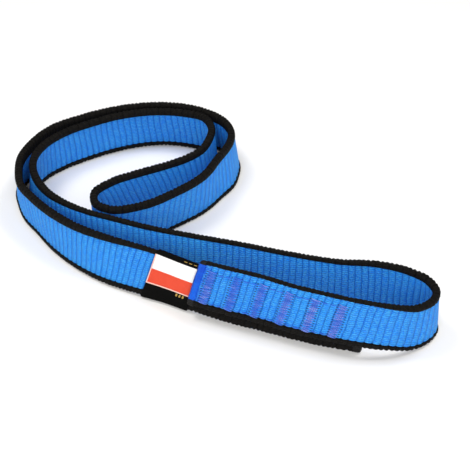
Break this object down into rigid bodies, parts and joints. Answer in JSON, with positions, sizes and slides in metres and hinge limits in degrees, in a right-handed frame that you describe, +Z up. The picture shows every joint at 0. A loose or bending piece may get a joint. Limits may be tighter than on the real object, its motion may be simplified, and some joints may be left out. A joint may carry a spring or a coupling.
{
  "type": "sewn webbing sling",
  "caption": "Endless loop of flat ribbed webbing with dark edges, joined by a bar-tacked splice with a printed label, curled on its edge.",
  "frame": {"origin": "on the floor, under the middle of the sling's bounding box", "axes": "+Z up through the width of the webbing, +X to the right along the sewn splice, +Y away from the side that carries the label"},
  "size_m": [0.2088, 0.1732, 0.0333],
  "materials": {
    "web": "ribbed woven polyamide webbing",
    "selvedge": "dense black woven edge",
    "seal": "webbing melted smooth by heat cutting",
    "thread": "twisted polyester sewing thread",
    "label_base": "thin woven black tape",
    "label_white": "thin woven white field",
    "label_red": "thin woven red field",
    "label_border": "thin woven light border",
    "label_marks": "thin woven gold dashes"
  },
  "bodies": {
    "root": {"web_body": "web", "selvedge_upper": "selvedge", "selvedge_lower": "selvedge", "end_seal_near": "seal", "end_seal_far": "seal", "bar_tack_1": "thread", "bar_tack_2": "thread", "bar_tack_3": "thread", "bar_tack_4": "thread", "bar_tack_5": "thread", "bar_tack_6": "thread", "stitch_line_upper": "thread", "stitch_line_lower": "thread", "label_sleeve": "label_base", "label_white_field": "label_white", "label_red_field": "label_red", "label_border": "label_border", "label_marks": "label_marks"}
  },
  "joints": []
}
